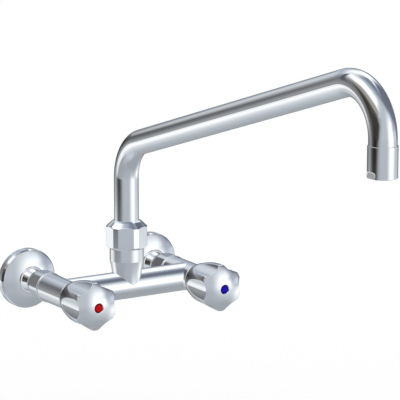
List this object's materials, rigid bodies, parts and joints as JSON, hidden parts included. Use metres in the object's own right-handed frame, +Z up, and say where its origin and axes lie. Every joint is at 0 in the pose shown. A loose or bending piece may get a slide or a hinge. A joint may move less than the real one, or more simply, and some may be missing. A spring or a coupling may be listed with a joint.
{
  "type": "commercial wall faucet",
  "caption": "Chrome wall faucet with two fluted knobs, a crossbar mixing body on union nuts and wall flanges, and a long swivelling tube spout that rises and turns down to an aerated outlet.",
  "frame": {"origin": "midpoint between the two inlets, on the wall plane, at the height of the crossbar axis", "axes": "X along the wall to the user's right, +Y into the wall, +Z up; the spout at rest points straight away from the wall, along -Y"},
  "size_m": [0.2136, 0.5595, 0.3101],
  "materials": {
    "chrome": "polished chrome plate",
    "brass": "turned brass",
    "rubber": "black sealing rubber",
    "steel": "plain stainless steel",
    "white_plastic": "off-white acetal",
    "red_index": "glossy red",
    "blue_index": "glossy blue"
  },
  "bodies": {
    "mixer": {"mixer_body": "chrome", "wall_flange_hot": "chrome", "wall_flange_cold": "chrome", "wall_connector_hot": "chrome", "wall_connector_cold": "chrome", "union_nut_hot": "chrome", "union_nut_cold": "chrome", "inlet_washer_hot": "rubber", "inlet_washer_cold": "rubber", "valve_bonnet_hot": "brass", "valve_bonnet_cold": "brass", "bonnet_gasket_hot": "rubber", "bonnet_gasket_cold": "rubber", "spout_nut": "chrome", "spout_slip_ring": "white_plastic"},
    "spout": {"spout_tube": "chrome", "spout_tail": "brass", "spout_seal_lower": "rubber", "spout_seal_upper": "rubber", "outlet_bush": "brass", "outlet_sleeve": "chrome", "aerator_washer": "rubber", "aerator_screen": "steel", "aerator_insert": "white_plastic"},
    "hot_handle": {"knob_hot": "chrome", "index_button_hot": "red_index", "knob_screw_hot": "steel", "spindle_hot": "brass", "spindle_seal_hot": "rubber", "spindle_clip_hot": "steel"},
    "cold_handle": {"knob_cold": "chrome", "index_button_cold": "blue_index", "knob_screw_cold": "steel", "spindle_cold": "brass", "spindle_seal_cold": "rubber", "spindle_clip_cold": "steel"},
    "hot_plunger": {"plunger_hot": "brass", "seat_washer_hot": "rubber", "washer_screw_hot": "brass"},
    "cold_plunger": {"plunger_cold": "brass", "seat_washer_cold": "rubber", "washer_screw_cold": "brass"}
  },
  "joints": [
    {"name": "spout_swivel", "type": "hinge", "parent": "mixer", "child": "spout", "pos_m": [0, -0.0858, 0.05], "axis": [0, 0, 1], "range_deg": [-90, 90]},
    {"name": "hot_knob_turn", "type": "hinge", "parent": "mixer", "child": "hot_handle", "pos_m": [-0.075, -0.13, 0], "axis": [0, -1, 0], "range_deg": [0, 720]},
    {"name": "cold_knob_turn", "type": "hinge", "parent": "mixer", "child": "cold_handle", "pos_m": [0.075, -0.13, 0], "axis": [0, -1, 0], "range_deg": [0, 720]},
    {"name": "hot_plunger_lift", "type": "slide", "parent": "mixer", "child": "hot_plunger", "axis": [0, -1, 0], "range_m": [0, 0.0035]},
    {"name": "cold_plunger_lift", "type": "slide", "parent": "mixer", "child": "cold_plunger", "axis": [0, -1, 0], "range_m": [0, 0.0035]}
  ],
  "couplings": [
    {"joint": "hot_plunger_lift", "follows": "hot_knob_turn", "m_per_rad": 0.00027852},
    {"joint": "cold_plunger_lift", "follows": "cold_knob_turn", "m_per_rad": 0.00027852}
  ]
}
